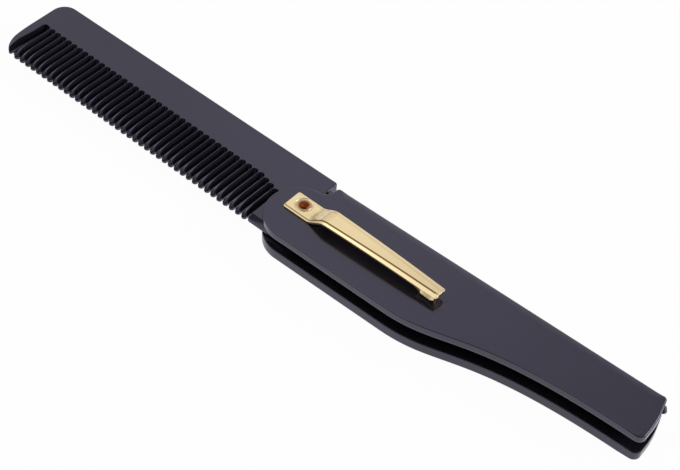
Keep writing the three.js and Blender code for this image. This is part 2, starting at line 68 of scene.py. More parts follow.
# Handle scales, seen from above
HANDLE_BACK = 10.75
KNUCKLE_RADIUS = 8.9
KNUCKLE_X = 0.6
KNUCKLE_Y = -2.4
KNUCKLE_END_ANGLE = 95
SADDLE_X = 2.15
SADDLE_SOFTNESS = 0.6
BACK_CORNER_RADIUS = 1.0
BELLY_X = 33.9
BELLY_DEPTH = 11.65
BELLY_PULL = 0.28
WAIST_PULL = 0.7
WAIST_DEPTH = 2.95
HANDLE_REACH = 99.7
TAIL_STRAIGHT = 5.2
TAIL_SLANT = 2.0
TAIL_BULGE = 0.85
TAIL_CORNER_RADIUS = 1.9
SCALE_RIM = 0.3  # rounding of the outer rim
TAIL_RIM = 0.55  # the same at the tail's end
BACK_RIM = (2.2, 0.65)  # the same along the straight back, how far in and how far down
BACK_RIM_RUN = 3.0  # length at both ends of the back over which that rim narrows
UPPER_MOUTH_RIM = 1.1  # rounding of the rims along the slot's open side
LOWER_MOUTH_RIM = 0.2
SLOT_RIM = 0.12  # the same along the back

# Spine strip
STRIP_WIDTH = 1.0
STRIP_NUB = 1.0  # upper half past the tail
STRIP_SETBACK = 0.4  # lower half short of the tail
NUB_SLANT = 0.5
NUB_ROOT = 0.8  # how far down the nub grows out, as a share of the slot's half
STRIP_FRONT = -0.24  # front end, short of the blade's shoulder
STRIP_RIM = 0.1
NUB_RIM = 0.42  # rounding of the nub, seen from the side
NUB_SIDE_RIM = 0.32  # rounding of its side faces
TONGUE_HEIGHT = 0.8
TONGUE_INSET = 2.2
TONGUE_FIT = 0.05

# Comb blade
OPEN_PAST_STRAIGHT = 1.63
TOOTH_PITCH = 2.1
TOOTH_COUNT = 40
TOOTH_LENGTH = 13.4
NOSE_LENGTH = (5.45, 2.0)  # length of a tooth's thinner end, above and below
NOSE_FULLNESS = (0.75, 0.5)  # 0.5 is an elliptic nose, 1 a sharper one
TIP_DROP = (0.5, 0.0)  # how much further down the last stretch of each face bends
TIP_DROP_START = 0.7  # where that starts, as a share of the nose
TIP_HEIGHT = (0.2, 0.6)  # faces of a tooth's tip from the blade's middle
GAP_WIDTH = 0.56  # at its narrowest
GAP_WALL = (-1.0, 0.1)  # heights between which it is that narrow
THIN_WALL = (0.3, 0.6)  # the same in thin tooth ends, as shares of the way up to the middle and to the top
GAP_LOW_FLARE = 0.3  # how much a side opens out below them
GAP_OVERCUT = 0.03
LAST_GAP_X = 10.4
SHORT_GAP_COUNT = 3
SHORT_GAP_STEP = 0.55
GUARD_WIDTH = 4.3
GUARD_SWEEP = 3.3
GUARD_SWEEP_HEIGHT = 11.6
GUARD_STRAIGHTNESS = 0.56
GUARD_TIP_REACH = 0.85
GUARD_TIP_LEAN = 0.09
GUARD_TOE_RADIUS = 0.35
GUARD_TOE_RUN = 1.4  # stretch of the sweep before the toe that is drawn straight
GUARD_RELIEF = 0.6  # how much the first gap is widened into the guard
GUARD_TAPER = (0.0, 0.7)  # how much narrower still the guard is at its root and at its toe
GUARD_SLANT = (0.1, 0.3)  # slant of its inner side there, inwards per height
HEEL_SLANT = (0.95, 1.55)  # slant of the heel's upper edge, inwards and down
HEEL_HIDDEN = 2.0  # where it ends inside the slot, before the pivot
HEEL_RIM = GAP_WIDTH / 8  # rounding of the heel's end beside the last gap
BACK_AT_TIP = 13.45
BACK_AT_SHOULDER = 14.1
TIP_CORNER_RADIUS = 4.2
SHOULDER_X = 0.85
SHOULDER_CORNER_RADIUS = 0.8
TANG_RADIUS = 9.0
TIP_LINE = -9.65
BLADE_RIM = 0.5
BLADE_RIM_SHARE = 0.4  # most of the thickness that one rim takes
RIDGE_HALF = (0.05, 0.26)  # half the flat along the top of a tooth, at its root and at its tip
RIDGE_ROUND = 0.1  # share of a tooth's slope that is rounding beside the flat
TIP_ROUND = 1.1  # length of the round tooth end, seen from above
TIP_ROUND_END = 80  # degrees of it that are drawn

# Pivot
RIVET_RADIUS = 1.0
RIVET_FIT = 0.05
DOME_RADIUS = 1.25
DOME_HEIGHT = 0.5
HEAD_RADIUS = 2.3
HEAD_THICKNESS = 0.8
HEAD_RECESS = 0.15
HEAD_EDGE = 0.12  # rounding of the head, and depth of its dish
DISH_BEND = (0.55, 0.6)  # where the dish bends: share of the radius, share of the depth
DISH_REACH = 0.7  # end of the dish, as a share of the radius
DOME_SEAT = 0.05  # how far the dome sits in the clip
DOME_UNDERCUT = 0.06
WASHER_RADIUS = 2.7
WASHER_THICKNESS = 0.4
COUNTERBORE_FIT = 0.15
COUNTERBORE_CHAMFER = 0.2

# Pocket clip
CLIP_TURN = 1.5
CLIP_CENTRE_Y = -0.48
CLIP_WIDTH = 6.15
CLIP_FRONT = 3.8
CLIP_CORNER_RADIUS = 0.6
NECK_START = 3.7
NECK_LENGTH = 3.7
NECK_RISE = 2.59
NECK_BEND = 1.8  # how far the upper bend runs on into the arm
NECK_LEAD = 0.85  # below 1 the lower bend is the tighter one
ARM_LENGTH = 35.2
ARM_DROP = 0.35
ARM_ARCH = 0.3
ARM_ROOT_WIDTH = 5.7
ARM_TIP_WIDTH = 4.05
TIP_ROUNDING = 0.4
FLANGE_WIDTH = (0.95, 1.38)  # at the neck and at the tip
FLANGE_DEPTH = (0.2, 0.3)
STEP_SHARE = 0.25  # part of the flange's depth that is a sharp step beside the top
STEP_WIDTH = 0.2
STEP_FALL = (0.1, 0.55)  # how far down the step is at its start and half way, as shares
FLANGE_FALL = 0.25  # how far down the flange is just past the step, as a share of the rest
NEAR_CREASE_SHADE = 1.0  # how dark the painted shade along each crease is
FAR_CREASE_SHADE = 0.15
PLATE_SHADE_LINE = 0.7  # the painted shade line along the plate, which has no crease, as a share of that along the arm
PLATE_EDGE = 0.62  # how far in from the plate's edge it runs
NECK_BEND_SHADE = 0.5  # how dark the painted shade in the lower bend is
BEND_SHADE_PLACE = 0.5  # where, past the start of the neck
BEND_SHADE_REACH = 0.7
RIVET_SHADE_RING = (1.45, 2.25)  # distances from the rivet's axis over which the painted shade round it fades
LOBE_DEPTH = 0.45  # how far the near edge reaches down at the tip
LOBE_LEAN = 0.9  # how far it leans out there, as a share of that
LOBE_REACH = 6.6  # where it starts, before the tip
LOBE_RUN = 3.6  # over which length it grows
LOBE_FADE = 0.9  # over which length it fades at the tip
SHEET_EDGE = 0.14  # rounding of the sheet's edges
RING_RADIUS = 2.1  # pressed ring round the rivet
RING_WIRE = 0.3
RING_DEPTH = 0.16
FOOT_FROM_TIP = 3.3
FOOT_RADIUS = 3.2
FOOT_WIDTH = 3.2
FOOT_LIFT = 0.15
FOOT_SINK = 0.2
FOOT_SQUARENESS = 0.45  # 1 is a round foot across, 0 a square one

# Smoothness
RIM_STEPS = 5
EDGE_STEPS = 3
DOME_STEPS = 9
NOSE_STEPS = 12
CORNER_STEPS = 8
ROUND_STEPS = 48
WIRE_STEPS = 12
CLIP_STEPS = (8, 4, 16, 48, 4)  # along the clip's front corners, plate, neck, arm and tip
SLOPE_REACH = 0.01  # how far each way the clip's slope is measured

# Places worked out from the sizes
BLADE_CLEAR = 2 * BLADE_HALF  # height at which a cutter is clear of the blade
TAIL_BACK_X = HANDLE_REACH - TAIL_SLANT
STRIP_INNER = HANDLE_BACK - STRIP_WIDTH
TONGUE_START = SADDLE_X + TONGUE_INSET
TONGUE_END = TAIL_BACK_X - TONGUE_INSET
ROOT_LINE = TIP_LINE + TOOTH_LENGTH
FIRST_GAP_X = -LAST_GAP_X - TOOTH_COUNT * TOOTH_PITCH
BLADE_END = FIRST_GAP_X - GUARD_WIDTH
NECK_END = NECK_START + NECK_LENGTH
CLIP_END = NECK_END + ARM_LENGTH

fold = next(joint for joint in frame["joints"] if joint["name"] == "blade_fold")
pivot = Vector(fold["pos_m"])


def mix(a, b, share):
    """The value that lies share of the way from a to b."""
    return a + (b - a) * share


def smooth(share):
    """A soft step from 0 to 1 while the share goes from 0 to 1."""
    share = max(0.0, min(1.0, share))
    return share * share * (3 - 2 * share)


# Outlines

def flat(x, y):
    return Vector((x, y))


def arc(centre, radius, start, end, steps):
    """Points along an arc, its angles in degrees."""
    points = []
    for step in range(steps + 1):
        angle = math.radians(mix(start, end, step / steps))
        points.append(centre + radius * flat(math.cos(angle), math.sin(angle)))
    return points


def bezier(a, b, c, d, steps):
    """Points along a cubic curve, without its first one."""
    points = []
    for step in range(1, steps + 1):
        t = step / steps
        ab, bc, cd = a.lerp(b, t), b.lerp(c, t), c.lerp(d, t)
        points.append(ab.lerp(bc, t).lerp(bc.lerp(cd, t), t))
    return points


def fillet(before, corner, after, radius, steps=CORNER_STEPS):
    """Points that round the corner between two straight edges."""
    one = (before - corner).normalized()
    two = (after - corner).normalized()
    half = math.acos(max(-1.0, min(1.0, one.dot(two)))) / 2
    centre = corner + (one + two).normalized() * (radius / math.sin(half))
    first = corner + one * (radius / math.tan(half)) - centre
    last = corner + two * (radius / math.tan(half)) - centre
    start = math.degrees(math.atan2(first.y, first.x))
    sweep = math.degrees(math.atan2(last.y, last.x)) - start
    sweep = (sweep + 180) % 360 - 180
    return arc(centre, radius, start, start + sweep, steps)


def scale_outline():
    """Both scales from above, anticlockwise: knuckle, grip, turned-in near edge, tail, back edge, saddle."""
    waist = flat(HANDLE_REACH - TAIL_STRAIGHT, -WAIST_DEPTH)
    belly = flat(BELLY_X, -BELLY_DEPTH)
    turn = waist.x - belly.x
    tail_near = flat(HANDLE_REACH, -WAIST_DEPTH)
    tail_back = flat(TAIL_BACK_X, HANDLE_BACK)
    tail_end = tail_back - tail_near
    tail_out = flat(tail_end.y, -tail_end.x).normalized()
    tail_middle = tail_near.lerp(tail_back, 0.5) + tail_out * TAIL_BULGE
    tail_radius = tail_end.length_squared / (8 * TAIL_BULGE)
    back_front = flat(SADDLE_X, HANDLE_BACK)
    saddle_start = flat(SADDLE_X, HANDLE_BACK - BACK_CORNER_RADIUS)
    knuckle = arc(flat(KNUCKLE_X, KNUCKLE_Y), KNUCKLE_RADIUS, KNUCKLE_END_ANGLE, 270, ROUND_STEPS)
    saddle_end = knuckle[0]
    drop = SADDLE_SOFTNESS * (saddle_start.y - saddle_end.y)
    run = SADDLE_SOFTNESS * (saddle_start.x - saddle_end.x)
    lead = math.radians(KNUCKLE_END_ANGLE + 90)
    near_edge = bezier(
        belly, belly + flat(BELLY_PULL * turn, 0), waist - flat(WAIST_PULL * turn, 0), waist, ROUND_STEPS)
    saddle = bezier(
        saddle_start, saddle_start - flat(0, drop),
        saddle_end - run * flat(math.cos(lead), math.sin(lead)), saddle_end, 2 * CORNER_STEPS)
    return (
        knuckle + [belly] + near_edge
        + fillet(waist, tail_near, tail_middle, TAIL_CORNER_RADIUS)
        + fillet(tail_near, tail_middle, tail_back, tail_radius)[1:-1]
        + fillet(tail_middle, tail_back, back_front, BACK_CORNER_RADIUS)
        + [tail_back - flat(BACK_RIM_RUN, 0), back_front + flat(BACK_RIM_RUN, 0)]
        + fillet(tail_back, back_front, saddle_start, BACK_CORNER_RADIUS)
        + saddle[:-1]
    )


def blade_face(point, side):
    """Distance of a face from the blade's middle: level, with round noses on the tooth ends."""
    if point.x > -LAST_GAP_X + HEEL_RIM + NEAR:
        return BLADE_HALF
    length = NOSE_LENGTH[side]
    share = max(0.0, min(1.0, (TIP_LINE + length - point.y) / length))
    height = mix(TIP_HEIGHT[side], BLADE_HALF, (1 - share * share) ** NOSE_FULLNESS[side])
    return height - TIP_DROP[side] * smooth((share - TIP_DROP_START) / (1 - TIP_DROP_START))


def blade_top(point):
    return blade_face(point, 0)


def blade_bottom(point):
    return -blade_face(point, 1)


def blade_rim(point):
    """Rounding of the blade's rim, less where the tooth ends are thin."""
    size = min(BLADE_RIM, BLADE_RIM_SHARE * (blade_top(point) - blade_bottom(point)))
    if abs(point.x + LAST_GAP_X) < NEAR:
        size = HEEL_RIM
    return size, size


def blade_outline():
    """The blade from above with its teeth still joined, anticlockwise: tang, back, tip, guard, tooth tips."""
    shoulder_angle = math.degrees(math.acos(-SHOULDER_X / TANG_RADIUS))
    tang = arc(flat(0, 0), TANG_RADIUS, -90, shoulder_angle, ROUND_STEPS)
    shoulder = flat(-SHOULDER_X, BACK_AT_SHOULDER)
    tip_corner = flat(BLADE_END, BACK_AT_TIP)
    sweep_top = flat(BLADE_END, TIP_LINE + GUARD_SWEEP_HEIGHT)
    guard_tip = flat(BLADE_END + GUARD_SWEEP, TIP_LINE)
    sweep = bezier(
        sweep_top,
        sweep_top - flat(0, GUARD_STRAIGHTNESS * GUARD_SWEEP_HEIGHT),
        flat(BLADE_END + (1 - GUARD_TIP_REACH) * GUARD_SWEEP, TIP_LINE + GUARD_TIP_LEAN * GUARD_SWEEP_HEIGHT),
        guard_tip, ROUND_STEPS)
    sweep = [point for point in sweep if (point - guard_tip).length > GUARD_TOE_RUN]
    last_tip = flat(-LAST_GAP_X, TIP_LINE)
    return (
        tang
        + fillet(tang[-1], shoulder, tip_corner, SHOULDER_CORNER_RADIUS)
        + fillet(shoulder, tip_corner, sweep_top, TIP_CORNER_RADIUS, 2 * CORNER_STEPS)
        + sweep
        + fillet(sweep[-1], guard_tip, last_tip, GUARD_TOE_RADIUS)
        + [last_tip, flat(-LAST_GAP_X, -TANG_RADIUS)]
    )


def nose_lines():
    """Lines across all teeth where the faces bend, from the guard to the last gap and past it."""
    lines = []
    for step in range(1, NOSE_STEPS):
        y = TIP_LINE + NOSE_LENGTH[0] * (1 - math.sin(math.pi / 2 * step / NOSE_STEPS))
        if y > TIP_LINE + BLADE_RIM:
            lines.append((flat(FIRST_GAP_X, y), flat(-LAST_GAP_X - GAP_WIDTH / 4, y)))
        if y > -TANG_RADIUS + BLADE_RIM:
            lines.append((flat(-LAST_GAP_X + GAP_WIDTH / 4, y), flat(-LAST_GAP_X + GAP_WIDTH, y)))
    return lines


def gap_profile(y):
    """Heights through a gap with its half width there: narrow between walls, opening out to the ridges."""
    point = flat(FIRST_GAP_X, y)
    bottom, top = blade_bottom(point) - GAP_OVERCUT, blade_top(point) + GAP_OVERCUT
    nose = max(0.0, min(1.0, (TIP_LINE + NOSE_LENGTH[0] - y) / NOSE_LENGTH[0]))
    half = GAP_WIDTH / 2
    low = half + GAP_LOW_FLARE
    widest = TOOTH_PITCH / 2 - mix(*RIDGE_HALF, nose)
    wall_low = max(GAP_WALL[0], mix(bottom, 0, THIN_WALL[0]))
    wall_top = min(GAP_WALL[1], mix(wall_low, top, THIN_WALL[1]))
    return [
        (-BLADE_CLEAR, low), (bottom, low), (wall_low, half), (wall_top, half),
        (mix(wall_top, top, 1 - RIDGE_ROUND), mix(half, widest, 1 - RIDGE_ROUND / 2)),
        (top, widest), (BLADE_CLEAR, widest),
    ]


def gap_side():
    """Places down a tooth's side as (y, turn): straight, then round the tooth's end by so many degrees."""
    start, end = TIP_LINE + NOSE_LENGTH[0], TIP_LINE + TIP_ROUND
    side = [(mix(start, end, step / NOSE_STEPS), 0) for step in range(NOSE_STEPS + 1)]
    for step in range(1, CORNER_STEPS + 1):
        turn = TIP_ROUND_END * step / CORNER_STEPS
        side.append((TIP_LINE + TIP_ROUND * (1 - math.sin(math.radians(turn))), turn))
    return side + [(TIP_LINE - PAST, TIP_ROUND_END)]


def gap_ring(x, root, level):
    """A gap at one level of its profile: round root, straight sides, round ends of the teeth beside it."""
    height, half = gap_profile(root)[level]
    ring = [(*spot, height) for spot in arc(flat(x, root), half, 0, 180, CORNER_STEPS)]
    left = []
    right = []
    for y, turn in gap_side():
        height, half = gap_profile(y)[level]
        wide = TOOTH_PITCH / 2 - (TOOTH_PITCH / 2 - half) * math.cos(math.radians(turn))
        left.append((x - wide, y, height))
        right.append((x + wide, y, height))
    return [Vector(spot) for spot in ring + left + right[::-1]]


def gap_places():
    """Each gap's middle with how much shorter it is than the long ones."""
    return [
        (FIRST_GAP_X + gap * TOOTH_PITCH, max(0, gap - (TOOTH_COUNT - SHORT_GAP_COUNT)) * SHORT_GAP_STEP)
        for gap in range(TOOTH_COUNT + 1)
    ]


def gap_cutters(places):
    """Cutters for gaps at these places, each a stack of rings."""
    points = []
    faces = []
    levels = len(gap_profile(ROOT_LINE))
    widest = TOOTH_PITCH / 2 - RIDGE_HALF[0]
    for x, shortening in places:
        first = len(points)
        for level in range(levels):
            points += gap_ring(x, ROOT_LINE - shortening - widest, level)
        count = (len(points) - first) // levels
        faces += between(count, levels, first)
        last = first + (levels - 1) * count
        faces.append(tuple(range(first + count - 1, first - 1, -1)))
        faces.append(tuple(range(last, last + count)))
    return piece("cutter", place(points, -OPEN_PAST_STRAIGHT), faces)


# Meshes

def inward(outline):
    """At each corner of an anticlockwise outline, the way in that keeps its distance from both edges."""
    ways = []
    for index, point in enumerate(outline):
        back = (point - outline[index - 1]).normalized()
        ahead = (outline[(index + 1) % len(outline)] - point).normalized()
        both = flat(-back.y - ahead.y, back.x + ahead.x)
        ways.append(both * (2 / both.length_squared))
    return ways


def between(count, rings, first=0):
    """Faces that join so many rings of count points each."""
    faces = []
    for ring in range(rings - 1):
        for index in range(count):
            a = first + ring * count + index
            b = first + ring * count + (index + 1) % count
            faces.append((a, b, b + count, a + count))
    return faces


def rounded_slab(outline, bottom, top, bottom_rim, top_rim, lines=()):
    """Points, faces and rim wear of a slab between two heights, with rounded rims.

    bottom and top give the height at a point. A rim gives for each corner how far in and how far down
    it goes. lines are where the faces bend."""
    ways = inward(outline)
    count = len(outline)
    points = []
    wear = []
    levels = [(bottom, 1, bottom_rim, step) for step in range(RIM_STEPS, -1, -1)]
    levels += [(top, -1, top_rim, step) for step in range(RIM_STEPS + 1)]
    for face, side, rim, step in levels:
        angle = math.pi / 2 * step / RIM_STEPS
        for corner, way, (inset, drop) in zip(outline, ways, rim):
            spot = corner + way * (inset * (1 - math.cos(angle)))
            points.append(Vector((spot.x, spot.y, face(spot) + side * drop * (1 - math.sin(angle)))))
            wear.append(math.sin(2 * angle))
    faces = between(count, len(levels))
    for face, first in ((bottom, 0), (top, (len(levels) - 1) * count)):
        ring = [point.to_2d() for point in points[first:first + count]]
        bends = [end for line in lines for end in line]
        edges = [(count + 2 * index, count + 2 * index + 1) for index in range(len(lines))]
        filled = delaunay_2d_cdt(ring + bends, edges, [list(range(count))], 1, SAME_SPOT)
        where = {}
        for index, (spot, origins) in enumerate(zip(filled[0], filled[3])):
            on_ring = [origin for origin in origins if origin < count]
            if on_ring:
                where[index] = first + on_ring[0]
            else:
                where[index] = len(points)
                points.append(Vector((spot.x, spot.y, face(spot))))
                wear.append(0.0)
        for corners in filled[2]:
            faces.append(tuple(where[corner] for corner in corners))
    return points, faces, wear


def place(points, turn=0.0):
    """Points about the pivot, turned about it by so many degrees, as points of the part in metres."""
    about = Matrix.Rotation(math.radians(turn), 3, "Z")
    return [pivot + MM * (about @ point) for point in points]


def piece(name, points, faces, wear=None):
    """A mesh object with outward faces and its rim wear, if any, as an attribute."""
    mesh = bpy.data.meshes.new(name)
    mesh.from_pydata(points, [], faces)
    if wear:
        mesh.attributes.new("wear", "FLOAT", "POINT").data.foreach_set("value", wear)
    work = bmesh.new()
    work.from_mesh(mesh)
    bmesh.ops.recalc_face_normals(work, faces=work.faces)
    work.to_mesh(mesh)
    work.free()
    made = bpy.data.objects.new(name, mesh)
    bpy.context.scene.collection.objects.link(made)
    return made


def lathe(name, profile, steps=ROUND_STEPS):
    """A piece turned about the pivot from (radius, height) points that start and end on the axis."""
    points = [Vector((0, 0, profile[0][1])), Vector((0, 0, profile[-1][1]))]
    rim = profile[1:-1]
    for radius, height in rim:
        for spot in arc(flat(0, 0), radius, 0, 360, steps)[:-1]:
            points.append(Vector((spot.x, spot.y, height)))
    faces = between(steps, len(rim), 2)
    last = (len(rim) - 1) * steps
    for index in range(steps):
        a = 2 + index
        b = 2 + (index + 1) % steps
        faces.append((0, b, a))
        faces.append((1, a + last, b + last))
    return piece(name, place(points), faces)


def cut(target, cutter):
    """Takes the cutter's shape out of a piece."""
    change = target.modifiers.new("cut", "BOOLEAN")
    change.operation = "DIFFERENCE"
    change.solver = "MANIFOLD"
    change.object = cutter
    bpy.context.view_layer.update()
    graph = bpy.context.evaluated_depsgraph_get()
    result = bpy.data.meshes.new_from_object(target.evaluated_get(graph))
    target.modifiers.clear()
    target.data = result
    bpy.data.objects.remove(cutter)


def block(low, high):
    """A plain box between two corners, for cutting."""
    corners = [Vector((x, y, z)) for x in (low.x, high.x) for y in (low.y, high.y) for z in (low.z, high.z)]
    faces = [(0, 1, 3, 2), (4, 6, 7, 5), (0, 4, 5, 1), (2, 3, 7, 6), (0, 2, 6, 4), (1, 5, 7, 3)]
    return piece("cutter", place(corners), faces)


def finish_surface(made, sharp_degrees=40):
    """Smooth shading that leaves flat faces flat."""
    made.data.shade_smooth()
    made.data.set_sharp_from_angle(angle=math.radians(sharp_degrees))
    even = made.modifiers.new("even_normals", "WEIGHTED_NORMAL")
    even.keep_sharp = True


# Materials

class Graph:
    """A node tree put together in small steps. A value is a number, a vector or another node's output."""

    def __init__(self, tree):
        self.nodes = tree.nodes
        self.links = tree.links

    def put(self, socket, value):
        if isinstance(value, bpy.types.NodeSocket):
            self.links.new(value, socket)
        else:
            socket.default_value = value

    def remap(self, value, from_low, from_high, low, high, soft=False):
        """A value carried from one range to another and kept within it, evenly or as a soft step."""
        node = self.nodes.new("ShaderNodeMapRange")
        if soft:
            node.interpolation_type = "SMOOTHSTEP"
        limits = (("From Min", from_low), ("From Max", from_high), ("To Min", low), ("To Max", high))
        for name, number in limits:
            node.inputs[name].default_value = number
        self.links.new(value, node.inputs["Value"])
        return node.outputs["Result"]

    def math(self, operation, a, b):
        node = self.nodes.new("ShaderNodeMath")
        node.operation = operation
        self.put(node.inputs[0], a)
        self.put(node.inputs[1], b)
        return node.outputs["Value"]

    def vector(self, operation, a, b=(0, 0, 0)):
        node = self.nodes.new("ShaderNodeVectorMath")
        node.operation = operation
        self.put(node.inputs[0], a)
        self.put(node.inputs[1], b)
        return node.outputs["Value" if operation in ("LENGTH", "DOT_PRODUCT") else "Vector"]

    def shaders(self, factor, a, b):
        """Two shaders mixed by a factor."""
        node = self.nodes.new("ShaderNodeMixShader")
        for socket, value in zip(node.inputs, (factor, a, b)):
            self.put(socket, value)
        return node.outputs["Shader"]


class Look(Graph):
    """A material around one Principled shader."""

    def __init__(self, name):
        self.material = bpy.data.materials.new(name)
        self.material.use_nodes = True
        super().__init__(self.material.node_tree)
        self.shader = self.nodes["Principled BSDF"]
        self.place = self.nodes.new("ShaderNodeTexCoord").outputs["Object"]

    def set(self, socket, value):
        self.put(self.shader.inputs[socket], value)

    def noise(self, size_mm, detail=3.0, stretch=(1, 1, 1), contrast=1.0):
        """Noise from 0 to 1 with grains of about this size, drawn out along an axis by stretch."""
        mapping = self.nodes.new("ShaderNodeMapping")
        mapping.inputs["Scale"].default_value = [1 / value for value in stretch]
        grain = self.nodes.new("ShaderNodeTexNoise")
        grain.inputs["Scale"].default_value = 1 / (size_mm * MM)
        grain.inputs["Detail"].default_value = detail
        self.links.new(self.place, mapping.inputs["Vector"])
        self.links.new(mapping.outputs["Vector"], grain.inputs["Vector"])
        spread = 0.5 / contrast
        return self.remap(grain.outputs["Fac"], 0.5 - spread, 0.5 + spread, 0, 1)

    def colour(self, factor, a, b):
        """A colour between a and b, where a may be an earlier mix."""
        node = self.nodes.new("ShaderNodeMix")
        node.data_type = "RGBA"
        self.links.new(factor, node.inputs["Factor"])
        for name, value in (("A", a), ("B", b)):
            socket = next(s for s in node.inputs if s.name == name and s.type == "RGBA")
            self.put(socket, value if isinstance(value, bpy.types.NodeSocket) else (*value, 1))
        return next(s for s in node.outputs if s.type == "RGBA")

    def attribute(self, name):
        node = self.nodes.new("ShaderNodeAttribute")
        node.attribute_name = name
        return node.outputs["Fac"]

    def ring(self, centre, inner_mm, outer_mm):
        """1 beside an upright axis through centre and 0 from the outer distance on."""
        away = self.vector("SUBTRACT", self.place, centre)
        distance = self.vector("LENGTH", self.vector("MULTIPLY", away, (1, 1, 0)))
        return self.remap(distance, inner_mm * MM, outer_mm * MM, 1, 0)

    def bump(self, height, depth_mm, normal=None):
        node = self.nodes.new("ShaderNodeBump")
        node.inputs["Distance"].default_value = depth_mm * MM
        self.links.new(height, node.inputs["Height"])
        if normal:
            self.links.new(normal, node.inputs["Normal"])
        return node.outputs["Normal"]


def black_plastic():
    """Polished black moulding: faint mottling, fine rubbing along the length, paler rims."""
    look = Look("black_plastic")
    mottle = look.noise(9, contrast=1.6)
    rubbing = look.noise(0.5, stretch=(30, 1, 1), contrast=1.8)
    grain = look.noise(0.12, detail=2)
    worn = look.math("MULTIPLY", look.attribute("wear"), look.noise(2.5, contrast=2.2))
    body = look.colour(mottle, (0.0105, 0.0098, 0.0140), (0.0132, 0.0124, 0.0178))
    look.set("Base Color", look.colour(worn, body, (0.030, 0.029, 0.036)))
    polish = look.math("ADD", look.remap(mottle, 0, 1, 0.10, 0.17), look.remap(rubbing, 0, 1, 0, 0.05))
    look.set("Roughness", look.math("ADD", polish, look.math("MULTIPLY", worn, 0.08)))
    look.set("Normal", look.bump(rubbing, 0.0006, look.bump(grain, 0.0004)))
    look.set("IOR", 1.75)
    look.set("Specular Tint", (0.73, 0.70, 1.0, 1))
    return look.material


def gilt():
    """Pale gold over drawn sheet, fine lines along the arm; painted shade in creases, neck bend and round the
    rivet.
    """
    look = Look("pale_gold")
    lines = look.noise(0.16, stretch=(40, 1, 1), contrast=1.6)
    cloud = look.noise(3.0, contrast=1.5)
    pores = look.noise(0.25, detail=4)
    body = look.colour(cloud, (0.93, 0.74, 0.43), (0.96, 0.79, 0.50))
    rubbed = look.colour(look.remap(lines, 0, 1, 0, 0.35), body, (0.84, 0.62, 0.31))
    # painted shade from the crease attribute: along the creases and in the neck's lower bend
    crease_shaded = look.colour(look.attribute("crease"), rubbed, (0.15, 0.10, 0.035))
    # painted shade round the rivet, fading outwards from its head
    rivet_shade = look.math("MULTIPLY", look.ring(pivot, *RIVET_SHADE_RING), look.remap(cloud, 0, 1, 0.6, 1))
    look.set("Base Color", look.colour(rivet_shade, crease_shaded, (0.20, 0.10, 0.03)))
    look.set("Metallic", 1.0)
    look.set("Roughness", look.remap(cloud, 0, 1, 0.17, 0.27))
    look.set("Normal", look.bump(lines, 0.0016, look.bump(pores, 0.0012)))
    return look.material


def copper():
    """Dark lacquered copper of the rivet, mottled and brighter where it is rubbed."""
    look = Look("copper")
    patches = look.noise(0.7, contrast=1.8)
    pores = look.noise(0.15, detail=4)
    look.set("Base Color", look.colour(patches, (0.12, 0.020, 0.005), (0.24, 0.052, 0.016)))
    look.set("Metallic", 1.0)
    look.set("Roughness", look.remap(patches, 0, 1, 0.36, 0.22))
    look.set("Normal", look.bump(pores, 0.004))
    return look.material


def steel():
    """Bright turned steel of the rivet's washer."""
    look = Look("steel")
    turned = look.noise(0.3, contrast=1.5)
    look.set("Base Color", look.colour(turned, (0.38, 0.38, 0.39), (0.56, 0.56, 0.57)))
    look.set("Metallic", 1.0)
    look.set("Roughness", look.remap(turned, 0, 1, 0.28, 0.45))
    look.set("Normal", look.bump(turned, 0.002))
    return look.material


def nylon():
    """Off-white nylon of the friction washers."""
    look = Look("pale_nylon")
    cloud = look.noise(1.0)
    look.set("Base Color", look.colour(cloud, (0.60, 0.57, 0.49), (0.69, 0.66, 0.58)))
    look.set("Roughness", look.remap(cloud, 0, 1, 0.45, 0.6))
    look.set("Normal", look.bump(cloud, 0.003))
    return look.material


PLASTIC = black_plastic()
GILT = gilt()
COPPER = copper()
STEEL = steel()
NYLON = nylon()


def dress(made, material, body, slot, *nodes):
    """Gives a piece its material and its body, and hides the nodes it stands for."""
    made.data.materials.clear()
    made.data.materials.append(material)
    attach(made, body)
    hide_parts(*nodes)


# Blade

def make_blade():
    """Slab with thin tooth ends, from which the gaps, the slants of guard and heel and the hole are cut."""
    outline = blade_outline()
    rim = [blade_rim(point) for point in outline]
    points, faces, wear = rounded_slab(outline, blade_bottom, blade_top, rim, rim, nose_lines())
    made = piece("blade_moulding", place(points, -OPEN_PAST_STRAIGHT), faces, wear)
    cut(made, gap_cutters(gap_places()))
    cut(made, gap_cutters([(FIRST_GAP_X - GUARD_RELIEF, 0)]))
    cut(made, guard_cutter())
    cut(made, heel_cutter())
    cut(made, through_hole())
    finish_surface(made)
    dress(made, PLASTIC, "blade", "black_plastic", "comb_blade")


def guard_cutter():
    """Cutter that narrows the guard on its inner side, more and more towards its toe."""
    wall = FIRST_GAP_X - GUARD_RELIEF - GAP_WIDTH / 2
    open_side = wall + GAP_WIDTH
    ends = []
    for y, taper, slant in zip((ROOT_LINE, TIP_LINE - PAST), GUARD_TAPER, GUARD_SLANT):
        low = wall - taper
        high = low - slant * (BLADE_CLEAR - GAP_WALL[0])
        profile = [
            (open_side, -BLADE_CLEAR), (low, -BLADE_CLEAR), (low, GAP_WALL[0]),
            (high, BLADE_CLEAR), (open_side, BLADE_CLEAR),
        ]
        ends.append([Vector((x, y, z)) for x, z in profile])
    return blade_bar(*ends)


def heel_cutter():
    """Cutter that slants the heel's upper near edge, from the last gap into the slot."""
    edge = -TANG_RADIUS
    crest = edge + HEEL_SLANT[0]
    foot = BLADE_HALF - HEEL_SLANT[1]
    profile = [
        (edge, foot), (crest, BLADE_HALF), (crest, BLADE_CLEAR),
        (edge - PAST, BLADE_CLEAR), (edge - PAST, foot),
    ]
    return blade_bar(*([Vector((x, y, z)) for y, z in profile] for x in (-LAST_GAP_X, -HEEL_HIDDEN)))


